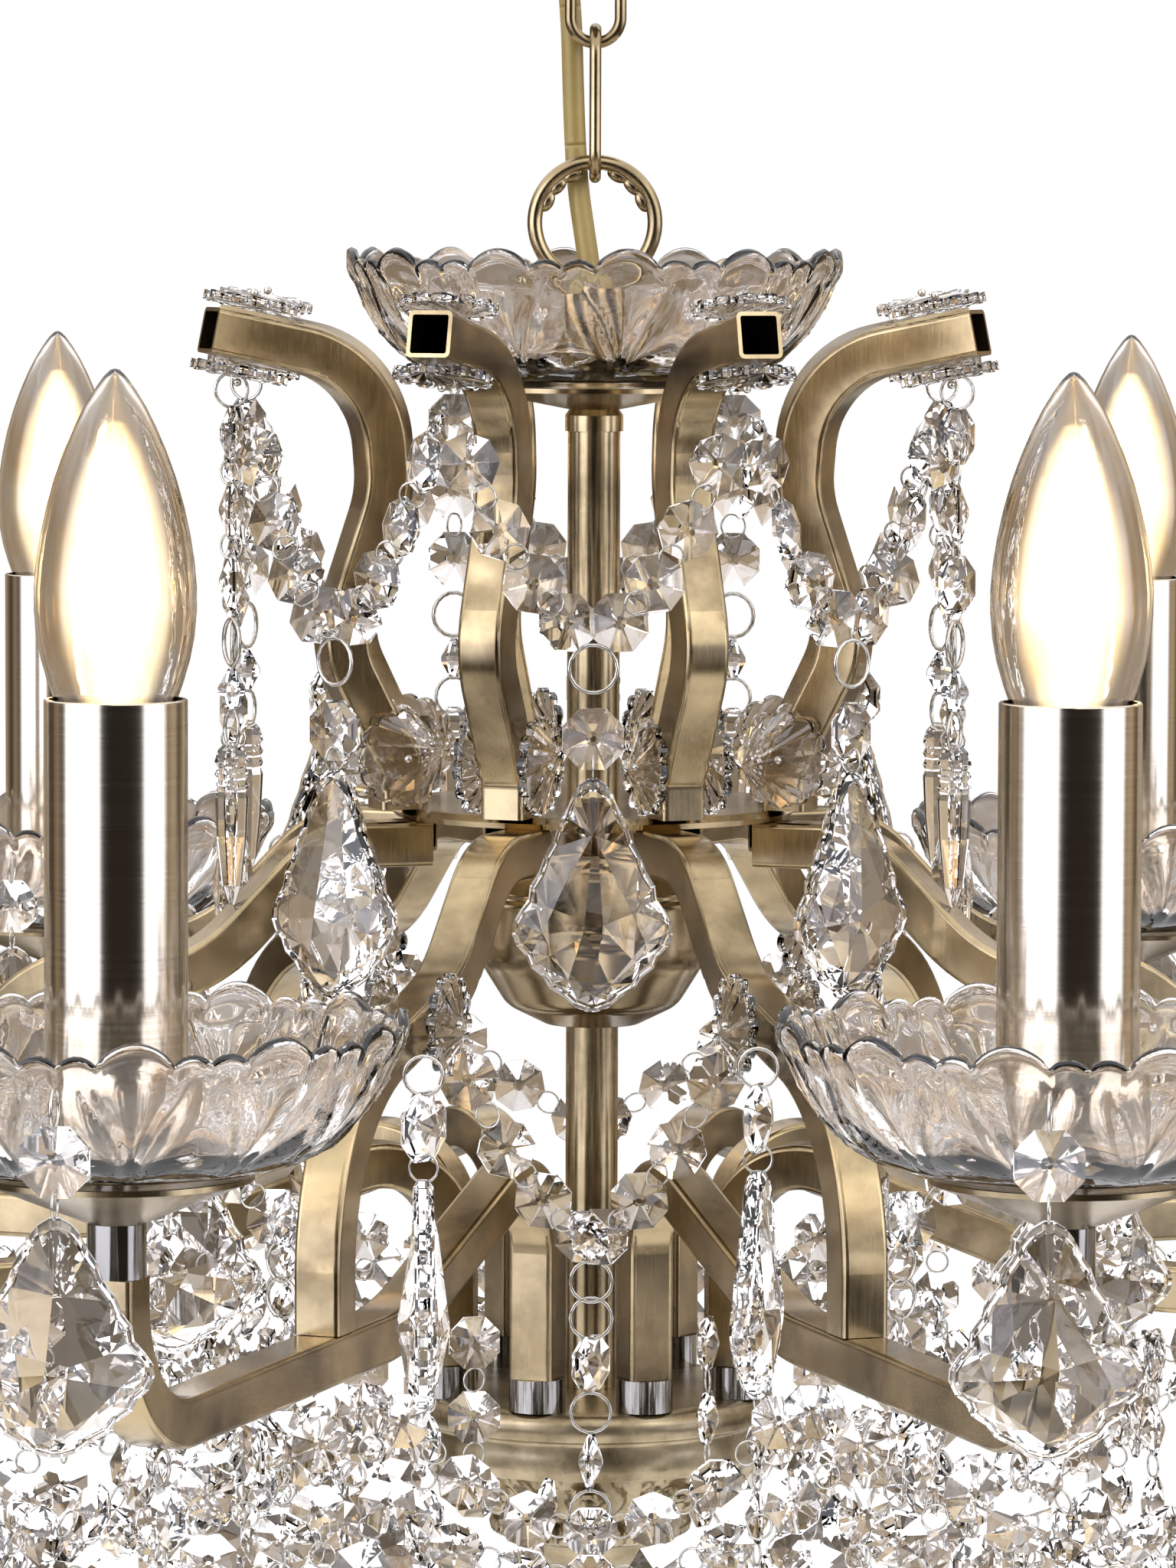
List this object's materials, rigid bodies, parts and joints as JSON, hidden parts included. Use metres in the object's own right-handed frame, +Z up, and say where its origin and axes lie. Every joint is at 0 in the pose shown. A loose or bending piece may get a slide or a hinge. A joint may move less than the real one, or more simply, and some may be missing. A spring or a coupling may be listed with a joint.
{
  "type": "multi arm chandelier",
  "caption": "Hanging chandelier with bent square-tube candle arms, scalloped glass dishes, filament candle bulbs and strings of cut crystals.",
  "frame": {"origin": "middle of the bracket's upper face, which lies on the ceiling", "axes": "+Z up, away from the room; -Y towards the front pair of candles; +X to the right of the front"},
  "size_m": [0.7064, 0.6897, 0.5605],
  "materials": {
    "antique_brass": "brushed satin, antique",
    "brushed_brass": "vertically brushed satin",
    "polished_nickel": "polished",
    "pressed_glass": "pressed, fire-polished",
    "bulb_glass": "clear, lit",
    "crystal": "cut and polished",
    "zinc_steel": "zinc plated",
    "brass_plastic": "moulded",
    "holder_plastic": "moulded",
    "cable": "smooth sheath"
  },
  "bodies": {
    "root": {"ceiling_plate": "zinc_steel", "ceiling_screws": "zinc_steel", "ceiling_rose": "antique_brass", "ceiling_loop": "antique_brass", "cable_gland": "brass_plastic", "supply_cable": "cable"},
    "upper_link": {"upper_link": "antique_brass"},
    "lower_link": {"lower_link": "antique_brass"},
    "chandelier": {"hanging_ring": "antique_brass", "top_saucer": "antique_brass", "upper_column": "antique_brass", "collar": "antique_brass", "hub_ball": "antique_brass", "lower_column": "antique_brass", "base_hub": "antique_brass", "base_finial": "antique_brass", "upper_scrolls": "antique_brass", "stays": "antique_brass", "candle_saucers": "antique_brass", "candle_arm_1": "antique_brass", "candle_arm_2": "antique_brass", "candle_arm_3": "antique_brass", "candle_arm_4": "antique_brass", "candle_arm_5": "antique_brass", "candle_arm_6": "antique_brass", "candle_arm_7": "antique_brass", "candle_arm_8": "antique_brass", "candle_tube_1": "brushed_brass", "candle_tube_2": "brushed_brass", "candle_tube_3": "brushed_brass", "candle_tube_4": "brushed_brass", "candle_tube_5": "brushed_brass", "candle_tube_6": "brushed_brass", "candle_tube_7": "brushed_brass", "candle_tube_8": "brushed_brass", "arm_sockets": "polished_nickel", "holder_ferrules": "polished_nickel", "top_bowl": "pressed_glass", "candle_dish_1": "pressed_glass", "candle_dish_2": "pressed_glass", "candle_dish_3": "pressed_glass", "candle_dish_4": "pressed_glass", "candle_dish_5": "pressed_glass", "candle_dish_6": "pressed_glass", "candle_dish_7": "pressed_glass", "candle_dish_8": "pressed_glass", "rosettes": "crystal", "upper_crystals": "crystal", "lower_garlands": "crystal", "dish_pendants": "crystal", "bottom_drop": "crystal", "lampholders": "holder_plastic"},
    "bulb_1": {"bulb_1": "bulb_glass"},
    "bulb_2": {"bulb_2": "bulb_glass"},
    "bulb_3": {"bulb_3": "bulb_glass"},
    "bulb_4": {"bulb_4": "bulb_glass"},
    "bulb_5": {"bulb_5": "bulb_glass"},
    "bulb_6": {"bulb_6": "bulb_glass"},
    "bulb_7": {"bulb_7": "bulb_glass"},
    "bulb_8": {"bulb_8": "bulb_glass"}
  },
  "joints": [
    {"name": "loop_swing", "type": "hinge", "parent": "root", "child": "upper_link", "pos_m": [0, 0, -0.0587], "axis": [0, 1, 0], "range_deg": [-6, 6], "deforming": ["supply_cable"]},
    {"name": "link_swing", "type": "hinge", "parent": "upper_link", "child": "lower_link", "pos_m": [0, 0, -0.0925], "axis": [1, 0, 0], "range_deg": [-6, 6], "deforming": ["supply_cable"]},
    {"name": "ring_swing", "type": "hinge", "parent": "lower_link", "child": "chandelier", "pos_m": [0, 0, -0.1265], "axis": [0, 1, 0], "range_deg": [-6, 6], "deforming": ["supply_cable"]},
    {"name": "bulb_1_unscrew", "type": "slide", "parent": "chandelier", "child": "bulb_1", "axis": [0, 0, 1], "range_m": [0, 0.03]},
    {"name": "bulb_2_unscrew", "type": "slide", "parent": "chandelier", "child": "bulb_2", "axis": [0, 0, 1], "range_m": [0, 0.03]},
    {"name": "bulb_3_unscrew", "type": "slide", "parent": "chandelier", "child": "bulb_3", "axis": [0, 0, 1], "range_m": [0, 0.03]},
    {"name": "bulb_4_unscrew", "type": "slide", "parent": "chandelier", "child": "bulb_4", "axis": [0, 0, 1], "range_m": [0, 0.03]},
    {"name": "bulb_5_unscrew", "type": "slide", "parent": "chandelier", "child": "bulb_5", "axis": [0, 0, 1], "range_m": [0, 0.03]},
    {"name": "bulb_6_unscrew", "type": "slide", "parent": "chandelier", "child": "bulb_6", "axis": [0, 0, 1], "range_m": [0, 0.03]},
    {"name": "bulb_7_unscrew", "type": "slide", "parent": "chandelier", "child": "bulb_7", "axis": [0, 0, 1], "range_m": [0, 0.03]},
    {"name": "bulb_8_unscrew", "type": "slide", "parent": "chandelier", "child": "bulb_8", "axis": [0, 0, 1], "range_m": [0, 0.03]}
  ]
}
